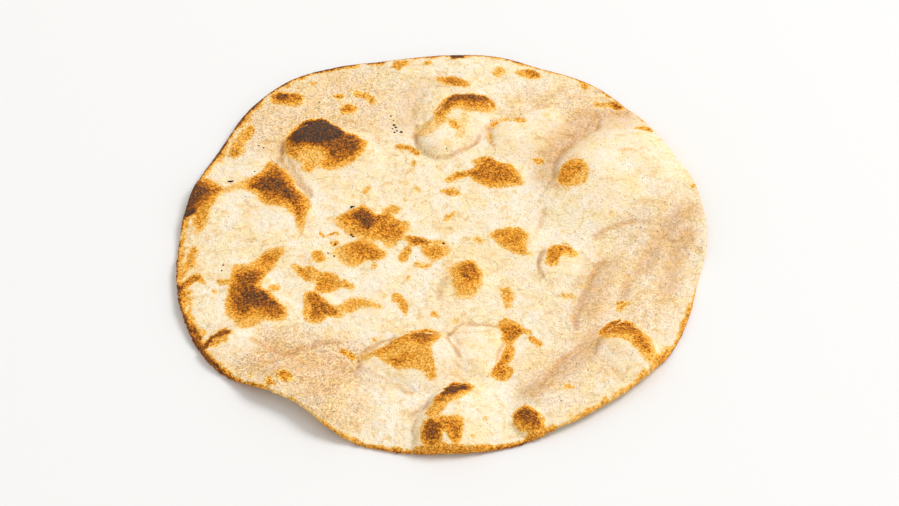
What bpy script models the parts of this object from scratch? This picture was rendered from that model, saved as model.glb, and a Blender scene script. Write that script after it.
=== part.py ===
# A round wholemeal flatbread baked on an oven wall: one thin wavy disc of dough whose top
# skin has risen in blisters. Lengths are millimetres until the last step, which turns the
# mesh to metres. +Z is up, the bread rests on z = 0, and the origin is under its middle.

import math

import bpy
import numpy as np
from mathutils import Vector

MM = 0.001

# The dough: its thickness in the middle, and how it thins towards a rounded edge.
THICKNESS = 3.8
RIM_THICKNESS = 2.4
RIM_TAPER = 14.0
RIM_ROUND = 1.1

# The edge, as its distance from the middle in evenly spaced directions, anticlockwise from +X.
EDGE_RADII = (
    127.7, 128.3, 127.8, 129.0, 131.9, 134.4, 132.9, 132.9,
    131.2, 130.2, 135.4, 136.8, 134.4, 129.6, 127.4, 127.6,
    127.8, 130.0, 132.4, 133.0, 129.3, 125.2, 130.1, 130.9,
    131.4, 130.5, 128.9, 128.0, 128.1, 127.8, 125.8, 124.5,
)

# Mesh density: edge points for each radius above, which also sets the grid of each skin, the
# share of triangles kept once the form is finished, and how near the table counts as on it.
POINTS_PER_RADIUS = 12
KEPT_TRIANGLES = 0.27
FLAT_WITHIN = 0.02

CRUST_COLOUR = (0.85, 0.66, 0.40, 1.0)
CRUST_ROUGHNESS = 0.85

# Each form below is a crest, the points of a line in plan, then its height and its reach
# to either side. Folds lift both skins, so the underside leaves the table there.
FOLDS = {
    "right_edge_curl": ([(127, -30), (129, 4), (123, 34)], 4.5, 26),
    "near_right_edge": ([(92, -88), (74, -100), (56, -109)], 3.5, 28),
    "near_edge": ([(4, -124)], 2.0, 30),
    "near_left_edge": ([(-78, -97), (-60, -110)], 7.0, 30),
    "left_edge": ([(-122, -58), (-128, -24)], 2.0, 24),
    "left_corner": ([(-127, 16), (-118, 40)], 2.5, 24),
    "far_left_edge": ([(-100, 86), (-78, 110)], 2.0, 26),
    "far_edge": ([(-20, 127), (24, 129)], 2.0, 28),
    "big_swell_lift": ([(84, 40), (98, 34)], 3.0, 48),
    "near_swell_lift": ([(-14, -80), (10, -80)], 2.0, 34),
}

# Soft rises of the top skin alone.
SWELLS = {
    "charred_blister_skirt": ([(-62, 54), (-46, 52)], 2.0, 17),
    "far_blister_plateau": ([(-3, 86), (0, 98), (10, 103)], 2.2, 15),
    "big_swell": ([(80, 40), (98, 36)], 4.5, 42),
    "patch_swell": ([(-92, 38), (-80, 42)], 2.0, 18),
    "left_patch": ([(-93, -26), (-84, -42)], 3.0, 19),
    "left_pillow": ([(-104, -72), (-98, -66)], 3.0, 15),
    "left_plain": ([(-96, 10), (-70, -6)], 1.5, 30),
    "left_spots": ([(-60, -38), (-55, -47)], 2.0, 12),
    "middle_left": ([(-40, 14), (-22, 6)], 2.5, 16),
    "middle_left_front": ([(-42, -6), (-32, -6)], 2.0, 12),
    "middle": ([(-10, -2), (-2, -8)], 1.5, 12),
    "middle_right": ([(28, 2), (40, 1)], 2.0, 14),
    "middle_far": ([(16, 46), (32, 46)], 2.0, 17),
    "near_left_mound": ([(-50, -98), (-28, -108)], 2.0, 20),
    "near_right_bank": ([(76, -74), (58, -90), (44, -98)], 2.0, 16),
    "right_ridge": ([(88, -10), (78, -22), (73, -38), (70, -52)], 2.6, 10),
    "outer_right_ridge": ([(102, -12), (94, -24), (90, -38)], 2.0, 9),
    "right_bank": ([(104, 20), (98, 0)], 1.5, 14),
    "near_blister_skirt": ([(10, -112), (22, -112)], 2.5, 20),
}

# Blisters of the top skin, with a crisp foot all round like a bubble.
BLISTERS = {
    "charred": ([(-68, 64), (-60, 66)], 8.5, 15),
    "charred_tail": ([(-51, 60), (-46, 59)], 4.5, 11),
    "far": ([(-1, 69), (12, 87)], 6.5, 13),
    "far_top": ([(10, 88), (14, 89)], 1.5, 11),
    "far_right": ([(35, 71), (46, 73)], 4.0, 12),
    "big_swell_shoulder": ([(78, 44), (88, 46)], 4.5, 22),
    "right": ([(86, -68), (90, -73)], 6.0, 12),
    "near_left": ([(-16, -79), (-7, -79)], 5.0, 16),
    "near_left_point": ([(-31, -78), (-22, -77)], 3.0, 9),
    "near_middle": ([(15, -70), (12, -79)], 5.0, 14),
    "near_edge": ([(5, -108), (2, -116)], 6.0, 15),
    "small_near_edge": ([(40, -114)], 4.0, 8),
    "small_middle": ([(12.5, -27), (13, -30)], 4.0, 10),
    "small_right": ([(56, -15)], 3.5, 10.5),
    "left_edge_char": ([(-119, 34), (-116, 26)], 2.0, 9),
    "patch_edge": ([(-86, 42), (-76, 28)], 2.5, 9),
}

# Creases sink the top skin in narrow folds.
CREASES = {
    "charred_blister_left": ([(-81, 64), (-80, 55), (-75, 46), (-68, 37)], -0.9, 5),
    "far_blister_foot": ([(-14, 70), (-11, 60), (0, 57), (10, 60), (20, 69)], -0.7, 5),
    "big_swell_foot": ([(54, 52), (54, 44), (57, 37)], -1.4, 7),
    "big_swell_far_valley": ([(57, 60), (64, 74), (76, 84)], -1.4, 12),
    "big_swell_front": ([(72, 3), (79, 7), (86, 10), (97, 12)], -1.2, 6),
    "between_near_blisters": ([(1, -63), (4, -69), (7, -76)], -1.8, 5),
    "near_left_line": ([(-88, -63), (-78, -69), (-69, -72), (-59, -67), (-49, -62)], -1.0, 7),
    "near_left_valley": ([(-86, -88), (-74, -80), (-60, -78), (-46, -84)], -1.6, 10),
    "near_left_blister_foot": ([(-40, -77), (-30, -87), (-15, -96)], -1.2, 6),
    "near_right_valley": ([(74, -58), (61, -71), (48, -85), (41, -92)], -1.5, 8),
    "right_line": ([(83, -9), (74, -18), (67, -32), (64, -45), (63, -54)], -1.3, 6),
    "outer_right_line": ([(90, -20), (86, -28), (82, -34)], -1.0, 5),
    "right_edge_valley": ([(118, 20), (113, 2), (110, -14), (106, -36)], -1.2, 10),
    "middle_right_line": ([(49, 23), (49, 14), (45, 8)], -0.9, 5),
}


def edge_outline():
    """The bread's edge: a closed smooth curve through the radii, turned into a mesh loop."""
    curve = bpy.data.curves.new("edge", "CURVE")
    curve.dimensions = "3D"
    curve.resolution_u = POINTS_PER_RADIUS
    spline = curve.splines.new("BEZIER")
    spline.bezier_points.add(len(EDGE_RADII) - 1)
    spline.use_cyclic_u = True
    for step, (radius, point) in enumerate(zip(EDGE_RADII, spline.bezier_points)):
        direction = 2 * math.pi * step / len(EDGE_RADII)
        point.co = Vector((math.cos(direction), math.sin(direction), 0)) * radius
        point.handle_left_type = point.handle_right_type = "AUTO"
    guide = bpy.data.objects.new("edge", curve)
    bpy.context.scene.collection.objects.link(guide)
    bpy.context.view_layer.update()
    mesh = bpy.data.meshes.new_from_object(guide.evaluated_get(bpy.context.evaluated_depsgraph_get()))
    bpy.data.objects.remove(guide)
    bpy.data.curves.remove(curve)
    return mesh


def ring_to_skin(rise):
    """From the selected edge ring: round the edge off, then fill it with a grid at height rise."""
    inset = 1 - RIM_ROUND / max(EDGE_RADII)
    bpy.ops.mesh.extrude_edges_move(TRANSFORM_OT_translate={"value": (0, 0, rise * 0.7)})
    bpy.ops.transform.resize(value=(1 - (1 - inset) * 0.3, 1 - (1 - inset) * 0.3, 1))
    bpy.ops.mesh.extrude_edges_move(TRANSFORM_OT_translate={"value": (0, 0, rise * 0.3)})
    bpy.ops.transform.resize(value=(inset, inset, 1))
    bpy.ops.mesh.fill_grid(span=len(EDGE_RADII) * POINTS_PER_RADIUS // 4)


def flat_bread():
    """A flat closed disc of dough with a rounded edge and two gridded skins."""
    bread = bpy.data.objects.new("roti", edge_outline())
    bpy.context.scene.collection.objects.link(bread)
    bpy.context.view_layer.objects.active = bread
    bread.select_set(True)
    bpy.ops.object.mode_set(mode="EDIT")
    bpy.ops.mesh.select_mode(type="VERT")
    bpy.ops.mesh.select_all(action="SELECT")
    bpy.ops.mesh.remove_doubles(threshold=0.001)
    ring_to_skin(THICKNESS / 2)
    bpy.ops.mesh.select_all(action="DESELECT")
    bpy.ops.mesh.select_non_manifold()
    ring_to_skin(-THICKNESS / 2)
    bpy.ops.mesh.select_all(action="SELECT")
    bpy.ops.mesh.normals_make_consistent(inside=False)
    bpy.ops.object.mode_set(mode="OBJECT")
    return bread


def smooth(closeness):
    return closeness ** 2 * (3 - 2 * closeness)


def sphere(closeness):
    return np.sqrt(closeness * (2 - closeness))


def sharp(closeness):
    return closeness ** 2


def distance_to_line(plan, line):
    """Distance in plan from every point to a line of one or more points."""
    line = np.array(line, float)
    nearest = np.hypot(*(plan - line[0]).T)
    for start, end in zip(line, line[1:]):
        run = end - start
        along = np.clip((plan - start) @ run / (run @ run), 0, 1)
        nearest = np.minimum(nearest, np.hypot(*(plan - start - along[:, None] * run).T))
    return nearest


def pull(points, chosen, form, falloff):
    """Move the chosen points up or down by their closeness to the form's crest line."""
    crest, height, reach = form
    closeness = np.clip(1 - distance_to_line(points[chosen, :2], crest) / reach, 0, 1)
    points[chosen, 2] += height * falloff(closeness)


def shape(bread):
    """Raise folds, swells and blisters, sink creases, and lay the underside on the table."""
    points = np.empty(len(bread.data.vertices) * 3, np.float32)
    bread.data.vertices.foreach_get("co", points)
    points = points.reshape(-1, 3).astype(float)
    top = np.flatnonzero(points[:, 2] > THICKNESS / 4)
    edge = points[np.abs(points[:, 2]) < 0.01, :2]
    points[:, 2] += THICKNESS / 2

    directions = np.arctan2(points[:, 1], points[:, 0])
    order = np.argsort(np.arctan2(edge[:, 1], edge[:, 0]))
    edge_directions = np.arctan2(edge[order, 1], edge[order, 0])
    edge_radii = np.interp(directions, edge_directions, np.hypot(*edge[order].T), period=2 * math.pi)
    inside = np.clip((edge_radii - np.hypot(*points[:, :2].T)) / RIM_TAPER, 0, 1)
    thinning = RIM_THICKNESS / THICKNESS
    points[:, 2] *= thinning + (1 - thinning) * smooth(inside)

    for form in FOLDS.values():
        pull(points, np.arange(len(points)), form, smooth)
    for form in SWELLS.values():
        pull(points, top, form, smooth)
    for form in CREASES.values():
        pull(points, top, form, sharp)
    for form in BLISTERS.values():
        pull(points, top, form, sphere)

    middle = (points.min(axis=0) + points.max(axis=0)) / 2
    points -= (middle[0], middle[1], points[:, 2].min())
    bread.data.vertices.foreach_set("co", (points * MM).astype(np.float32).ravel())
    bread.data.update()


def thin_out(bread):
    """Keep fewer triangles, and put the flat of the underside back on the table exactly."""
    fewer = bread.modifiers.new("fewer_triangles", "DECIMATE")
    fewer.ratio = KEPT_TRIANGLES
    fewer.use_collapse_triangulate = True
    bpy.ops.object.modifier_apply(modifier=fewer.name)
    for vertex in bread.data.vertices:
        if vertex.co.z < FLAT_WITHIN * MM:
            vertex.co.z = 0


def crust_material():
    material = bpy.data.materials.new("toasted_wholemeal_crust")
    material.use_nodes = True
    shader = material.node_tree.nodes["Principled BSDF"]
    shader.inputs["Base Color"].default_value = CRUST_COLOUR
    shader.inputs["Roughness"].default_value = CRUST_ROUGHNESS
    shader.inputs["Metallic"].default_value = 0.0
    return material


def build():
    for item in list(bpy.data.objects):
        bpy.data.objects.remove(item)
    bread = flat_bread()
    shape(bread)
    bread.data.materials.append(crust_material())
    bread.data.shade_smooth()
    thin_out(bread)

    pieces = bpy.data.collections.new("roti")
    bpy.context.scene.collection.children.link(pieces)
    bpy.context.scene.collection.objects.unlink(bread)
    pieces.objects.link(bread)


build()
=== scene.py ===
import math

import bmesh
import bpy
import numpy as np
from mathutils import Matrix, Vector, noise


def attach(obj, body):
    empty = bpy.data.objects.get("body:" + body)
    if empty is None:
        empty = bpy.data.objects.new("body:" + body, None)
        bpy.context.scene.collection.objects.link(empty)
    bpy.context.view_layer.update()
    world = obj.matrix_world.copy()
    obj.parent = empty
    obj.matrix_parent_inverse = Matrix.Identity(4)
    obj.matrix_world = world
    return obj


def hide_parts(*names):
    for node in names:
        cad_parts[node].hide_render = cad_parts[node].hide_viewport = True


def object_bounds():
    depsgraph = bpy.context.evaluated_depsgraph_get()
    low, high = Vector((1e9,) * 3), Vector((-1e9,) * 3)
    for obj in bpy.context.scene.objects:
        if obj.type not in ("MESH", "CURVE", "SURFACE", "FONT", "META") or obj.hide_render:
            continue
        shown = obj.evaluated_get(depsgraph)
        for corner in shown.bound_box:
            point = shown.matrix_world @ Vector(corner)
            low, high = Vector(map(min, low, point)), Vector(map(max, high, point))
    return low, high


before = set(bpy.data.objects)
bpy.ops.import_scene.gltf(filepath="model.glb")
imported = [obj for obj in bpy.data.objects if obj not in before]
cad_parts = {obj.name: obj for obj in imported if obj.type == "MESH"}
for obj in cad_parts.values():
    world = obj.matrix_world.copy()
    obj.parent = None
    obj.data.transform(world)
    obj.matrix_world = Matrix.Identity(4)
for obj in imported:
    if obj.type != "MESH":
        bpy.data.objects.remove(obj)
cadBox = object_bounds()
mm = 0.001
print("frame loaded")


def toLinear(hexColour):  # sRGB hex to linear RGBA
    values = [int(hexColour[i:i + 2], 16) / 255 for i in (0, 2, 4)]
    return tuple(v / 12.92 if v <= 0.04045 else ((v + 0.055) / 1.055) ** 2.4 for v in values) + (1.0,)


def outputOf(node):  # its first output in use
    return next(output for output in node.outputs if output.enabled)


def addNode(tree, kind, settings=None, inputs=None):
    # an input is a number, a colour, a vector, another node or one of its outputs
    node = tree.nodes.new(kind)
    for name, value in (settings or {}).items():
        setattr(node, name, value)
    for name, value in (inputs or {}).items():
        if isinstance(value, bpy.types.Node):
            value = outputOf(value)
        if isinstance(value, bpy.types.NodeSocket):
            tree.links.new(value, node.inputs[name])
        else:
            node.inputs[name].default_value = value
    return node


def only(piece):
    bpy.ops.object.select_all(action="DESELECT")
    piece.select_set(True)
    bpy.context.view_layer.objects.active = piece


def placesOf(piece):  # a mesh's vertices in mm
    flat = np.empty(len(piece.data.vertices) * 3, np.float32)
    piece.data.vertices.foreach_get("co", flat)
    return flat.reshape(-1, 3).astype(float) / mm


def normalsOf(piece):
    return np.array([vertex.normal[:] for vertex in piece.data.vertices])


def compass(plan):  # each point's direction from the middle, in degrees from +X
    return np.degrees(np.arctan2(plan[:, 1], plan[:, 0])) % 360


def distanceToLine(plan, line):
    # distance in plan from each point to a line of one or more points, and the direction away from it
    line = np.array(line, float)
    offset = plan - line[0]
    nearest = np.hypot(*offset.T)
    for start, end in zip(line, line[1:]):
        run = end - start
        along = np.clip((plan - start) @ run / (run @ run), 0, 1)
        away = plan - start - along[:, None] * run
        closer = np.hypot(*away.T) < nearest
        offset[closer] = away[closer]
        nearest = np.hypot(*offset.T)
    return nearest, np.degrees(np.arctan2(offset[:, 1], offset[:, 0]))


def between(before, start, end, after, share):  # on the smooth curve from start to end
    return start + 0.5 * share * (end - before + share * (
        2 * before - 5 * start + 4 * end - after + share * (3 * (start - end) + after - before)))


def curveThrough(corners, closed=False, steps=4):  # a smooth line or outline through its corners
    corners = np.array(corners, float)
    if len(corners) == 1:
        return corners
    first, last = (corners[-1:], corners[:2]) if closed else (corners[:1], corners[-1:])
    padded = np.vstack([first, corners, last])
    ends = [padded[k:len(padded) - 3 + k] for k in range(4)]
    parts = [between(*ends, share) for share in np.arange(steps) / steps]
    curve = np.stack(parts, axis=1).reshape(-1, 2)
    return curve if closed else np.vstack([curve, corners[-1:]])


def within(plan, line, reach):  # which points may lie within a reach of a line
    beyond = np.maximum(line.min(axis=0) - plan, plan - line.max(axis=0)).max(axis=1)
    return np.flatnonzero(beyond < reach)


def depthInside(plan, outline):  # how deep each point lies inside a closed outline, less than 0 outside
    closed = np.vstack([outline, outline[:1]])
    distance = distanceToLine(plan, closed)[0]
    crossings = np.zeros(len(plan), int)
    tiny = 1e-9  # keeps a level edge from dividing by 0
    for start, end in zip(closed, closed[1:]):
        level = (start[1] > plan[:, 1]) != (end[1] > plan[:, 1])
        slope = (end[0] - start[0]) / (end[1] - start[1] + tiny)
        crossings += level & (plan[:, 0] < start[0] + slope * (plan[:, 1] - start[1]))
    return np.where(crossings % 2 == 1, distance, -distance)


def noiseField(plan, size, seed, octaves=1):  # smooth noise from about -1 to 1, its forms of a size in mm
    seedGap, dimension, lacunarity = 7.3, 0.9, 2.1
    spots = np.column_stack([plan / size, np.full(len(plan), seed * seedGap)])
    if octaves > 1:
        return np.array([noise.fractal(Vector(s), dimension, lacunarity, octaves) for s in spots])
    return np.array([noise.noise(Vector(s)) for s in spots])


def wobble(plan, size, amount, seed):
    # shifts each point by up to an amount in mm, so that lines drawn with it wander
    return plan + amount * np.column_stack([noiseField(plan, size, seed), noiseField(plan, size, seed + 1)])


def smooth(share):  # eases out of 0 and into 1
    return share ** 2 * (3 - 2 * share)


def ramp(values, start, end):  # a smooth change from 0 at the start to 1 at the end
    return smooth(np.clip((values - start) / (end - start), 0, 1))


def sphere(share):  # the height of a ball's side, from its edge at 0 to its top at 1
    return np.sqrt(share * (2 - share))


def larger(a, b, blend=1.0):  # the larger of two heights, with a rounded change where both stand proud
    alike = np.clip(1 - np.abs(a - b) / blend, 0, 1)
    return np.maximum(a, b) + alike ** 2 * np.minimum(np.minimum(a, b), blend) / 4


# The dough disc

dough = {
    "thickness": 3.8,         # mm in the middle
    "rimThickness": 2.4,      # mm
    "rimTaper": 14.0,         # mm over which the rim thins
    "rimHold": 1.4,           # mm of the rim that is thinned all the way
    "rimRound": 1.1,          # mm
    "rimSteps": ((0.7, 0.3), (0.3, 1.0)),  # shares of half the thickness and of the rounding
    "edgeRadii": (            # from the middle to the edge, in evenly spaced directions from +X
        127.7, 128.3, 127.8, 129.0, 131.9, 134.4, 132.9, 132.9, 131.2, 130.2, 135.4, 136.8, 134.4, 129.6,
        127.4, 127.6, 127.8, 130.0, 132.4, 133.0, 129.3, 125.2, 130.1, 130.9, 131.4, 130.5, 128.9, 128.0,
        128.1, 127.8, 125.8, 124.5,
    ),
    "pointsPerRadius": 32,    # edge points for each radius
    "grabReach": 0.8,         # mm beside a crest line that a pull takes hold of
    "undersideThinning": 2,   # times that every other row of the underside's grid is taken out
    "undersideInset": 3.0,    # mm beside the edge that keep the full grid
    "underFacing": -0.5,      # the slant of a face that belongs to the underside
    "topFacing": 0.3,         # the least slant of a vertex that rises with a swell
    "bite": (0.2, 0.7),       # mm nibbled off the edge: on the far side, on the near side
    "biteReach": 3.0,         # mm
    "toothSize": 1.5,         # mm
}


def makeDisc():
    # a bezier circle bent to the bread's outline, rounded at the edge, with a grid for each skin
    radii = dough["edgeRadii"]
    bpy.ops.object.select_all(action="DESELECT")
    bpy.ops.curve.primitive_bezier_circle_add(radius=radii[0] * mm)
    outline = bpy.context.active_object
    outline.data.dimensions = "3D"
    outline.data.resolution_u = dough["pointsPerRadius"]
    bpy.ops.object.mode_set(mode="EDIT")
    bpy.ops.curve.select_all(action="SELECT")
    bpy.ops.curve.subdivide(number_cuts=len(radii) // 4 - 1)
    bpy.ops.object.mode_set(mode="OBJECT")
    points = outline.data.splines[0].bezier_points
    fullTurn = math.tau - 0.001  # a little less, so that the point on +X comes first
    ordered = sorted(points, key=lambda p: math.atan2(p.co.y, p.co.x) % fullTurn)
    for step, point in enumerate(ordered):
        direction = math.tau * step / len(radii)
        point.co = Vector((math.cos(direction), math.sin(direction), 0)) * radii[step] * mm
        point.handle_left_type = point.handle_right_type = "AUTO"
    bpy.ops.object.convert(target="MESH")
    disc = bpy.context.active_object
    disc.name = disc.data.name = "rotiBread"
    bpy.ops.object.mode_set(mode="EDIT")
    bpy.ops.mesh.select_mode(type="VERT")
    bpy.ops.mesh.select_all(action="SELECT")
    bpy.ops.mesh.remove_doubles(threshold=0.001 * mm)
    for side in (1, -1):
        rise = side * dough["thickness"] / 2 * mm
        for riseShare, roundShare in dough["rimSteps"]:
            shrink = 1 - dough["rimRound"] / max(radii) * roundShare
            bpy.ops.mesh.extrude_edges_move(TRANSFORM_OT_translate={"value": (0, 0, rise * riseShare)})
            bpy.ops.transform.resize(value=(shrink, shrink, 1))
        bpy.ops.mesh.fill_grid(span=len(radii) * dough["pointsPerRadius"] // 4)
        bpy.ops.mesh.select_all(action="DESELECT")
        bpy.ops.mesh.select_non_manifold()
    bpy.ops.mesh.select_all(action="SELECT")
    bpy.ops.mesh.normals_make_consistent(inside=False)
    bpy.ops.transform.translate(value=(0, 0, dough["thickness"] / 2 * mm))
    bpy.ops.object.mode_set(mode="OBJECT")
    return disc


def edgeDistance(plan):  # how far inside the outline each point lies, in mm
    radii = np.array(dough["edgeRadii"])
    turn = math.tau / len(radii)
    directions = np.arctan2(plan[:, 1], plan[:, 0]) % math.tau / turn
    step = np.floor(directions).astype(int)
    nearRadii = [radii[(step + k) % len(radii)] for k in (-1, 0, 1, 2)]
    return between(*nearRadii, directions - step) - np.hypot(*plan.T)


# Folds and swells: a crest line in plan, its height and its reach, in mm

folds = {  # both skins rise, so the underside leaves the table
    "rightEdgeCurl": ([(127, -30), (129, 4), (123, 34)], 4.5, 26),
    "nearRightEdge": ([(92, -88), (74, -100), (56, -109)], 3.5, 28),
    "nearEdge": ([(4, -124)], 2.0, 30),
    "nearLeftEdge": ([(-78, -97), (-60, -110)], 7.0, 30),
    "leftEdge": ([(-122, -58), (-128, -24)], 2.0, 24),
    "leftCorner": ([(-127, 16), (-118, 40)], 2.5, 24),
    "farLeftEdge": ([(-100, 86), (-78, 110)], 2.0, 26),
    "farEdge": ([(-20, 127), (24, 129)], 2.0, 28),
    "bigSwellLift": ([(84, 40), (98, 34)], 3.0, 48),
    "nearSwellLift": ([(-14, -80), (10, -80)], 2.0, 34),
}

swells = {  # only the top skin rises
    "farBlisterPlateau": ([(-3, 86), (0, 98), (10, 103)], 2.0, 15),
    "bigSwell": ([(80, 40), (98, 36)], 3.5, 46),
    "leftPlain": ([(-96, 10), (-70, -6)], 1.5, 30),
    "nearLeftMound": ([(-50, -98), (-28, -108)], 2.0, 20),
    "nearRightBank": ([(76, -74), (58, -90), (44, -98)], 2.4, 15),
    "rightRidge": ([(88, -14), (81, -22), (76, -34), (72, -50)], 1.5, 11),
    "outerRightRidge": ([(100, -22), (93, -34)], 1.2, 10),
    "rightBank": ([(104, 20), (98, 0)], 1.5, 14),
    "nearLeftRidge": ([(-74, -86), (-58, -84), (-46, -92)], 1.2, 12),
}


def selectWhere(disc, test):  # in edit mode, selects just the vertices whose place in mm passes a test
    mesh = bmesh.from_edit_mesh(disc.data)
    mesh.verts.ensure_lookup_table()
    bpy.ops.mesh.select_all(action="DESELECT")
    places = np.array([vertex.co for vertex in mesh.verts]) / mm
    for index in np.flatnonzero(test(places)):
        mesh.verts[index].select_set(True)
    mesh.select_flush_mode()


def pull(disc, crest, height, reach):
    # grabs the vertices on a crest line and lifts them with proportional editing
    selectWhere(disc, lambda places: distanceToLine(places[:, :2], crest)[0] < dough["grabReach"])
    bpy.ops.transform.translate(
        value=(0, 0, height * mm), use_proportional_edit=True,
        proportional_edit_falloff="SMOOTH", proportional_size=reach * mm)


def thinUnderside(disc):  # the flat underside needs fewer faces than the top
    mesh = bmesh.from_edit_mesh(disc.data)
    mesh.normal_update()
    bpy.ops.mesh.select_all(action="DESELECT")
    middles = np.array([face.calc_center_median()[:2] for face in mesh.faces]) / mm
    for face, inside in zip(mesh.faces, edgeDistance(middles)):
        face.select_set(face.normal.z < dough["underFacing"] and inside > dough["undersideInset"])
    bpy.ops.mesh.unsubdivide(iterations=dough["undersideThinning"])


def hideUnderside(disc):  # and the steep edge, so that a swell lifts the top skin alone
    mesh = bmesh.from_edit_mesh(disc.data)
    mesh.normal_update()
    bpy.ops.mesh.select_all(action="DESELECT")
    for vertex in mesh.verts:
        vertex.select_set(vertex.normal.z < dough["topFacing"])
    mesh.select_flush_mode()
    bpy.ops.mesh.hide(unselected=False)


def shapeDough(disc):
    only(disc)
    bpy.ops.object.mode_set(mode="EDIT")
    selectWhere(disc, lambda places: edgeDistance(places[:, :2]) < dough["rimHold"])
    bpy.ops.transform.resize(
        value=(1, 1, dough["rimThickness"] / dough["thickness"]), center_override=(0, 0, 0),
        use_proportional_edit=True, proportional_edit_falloff="SMOOTH",
        proportional_size=dough["rimTaper"] * mm)
    for crest, height, reach in folds.values():
        pull(disc, crest, height, reach)
    thinUnderside(disc)
    hideUnderside(disc)
    for crest, height, reach in swells.values():
        pull(disc, crest, height, reach)
    bpy.ops.mesh.reveal(select=False)
    bpy.ops.object.mode_set(mode="OBJECT")


# Blisters: the crest, height and reach of each bubble. Its foot is crisp in the directions from
# one angle to another, in degrees, and runs out over the longer reach on its other sides.

blisters = {
    "charred": ([(-69, 65), (-60, 68)], 9.0, 9.5, 27, 30, 215),
    "charredTail": ([(-54, 63), (-43, 61)], 5.5, 8, 20, 0, 130),
    "far": ([(-1, 69), (12, 86)], 6.5, 12.5, 12.5, 0, 360),
    "farTop": ([(9, 88), (15, 89)], 7.8, 9.5, 9.5, 0, 360),
    "farRight": ([(35, 72), (45, 74), (48, 79)], 4.0, 11.5, 20, 70, 205),
    "bigSwell": ([(74, 46), (84, 58), (96, 60)], 5.5, 19, 45, 105, 205),
    "right": ([(85, -67), (91, -73)], 6.0, 11.5, 20, -25, 200),
    "nearLeft": ([(-12, -74), (-3, -76)], 5.5, 14.5, 24, 60, 195),
    "nearLeftPoint": ([(-30, -79), (-20, -76)], 3.6, 9, 15, 70, 200),
    "nearMiddle": ([(15, -70), (13, -78)], 5.2, 15, 16, -60, 220),
    "nearEdge": ([(6, -107), (1, -118)], 7.0, 14, 27, 75, 215),
    "smallNearEdge": ([(40, -114)], 3.6, 8, 9, 0, 360),
    "smallMiddle": ([(12, -26)], 2.6, 11, 16, 60, 170),
    "smallRight": ([(56, -14)], 3.2, 10.5, 17, 55, 215),
    "leftEdge": ([(-121, 33), (-117, 26)], 2.2, 8, 10, 60, 200),
    "trianglePatch": ([(-88, 42), (-80, 40), (-75, 27)], 3.0, 8, 20, -20, 80),
    "leftPatch": ([(-94, -24), (-88, -34), (-80, -42)], 3.0, 10, 21, 0, 90),
    "leftPillow": ([(-104, -69), (-98, -64)], 4.0, 8, 20, 85, 185),
    "leftSpot": ([(-61, -36), (-54, -43)], 2.0, 6, 13, 0, 90),
    "middleLeft": ([(-40, 18), (-34, 12)], 2.5, 7, 17, 70, 160),
    "middleLeftFront": ([(-38, -3), (-31, -8)], 1.8, 5, 12, 20, 110),
    "middle": ([(-16, 1), (-8, 0)], 1.5, 4, 11, 60, 130),
    "middleFar": ([(20, 47), (32, 45)], 1.8, 9, 17, 50, 130),
    "middleRight": ([(30, 5), (38, 4)], 1.6, 6, 14, 60, 130),
}

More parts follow.
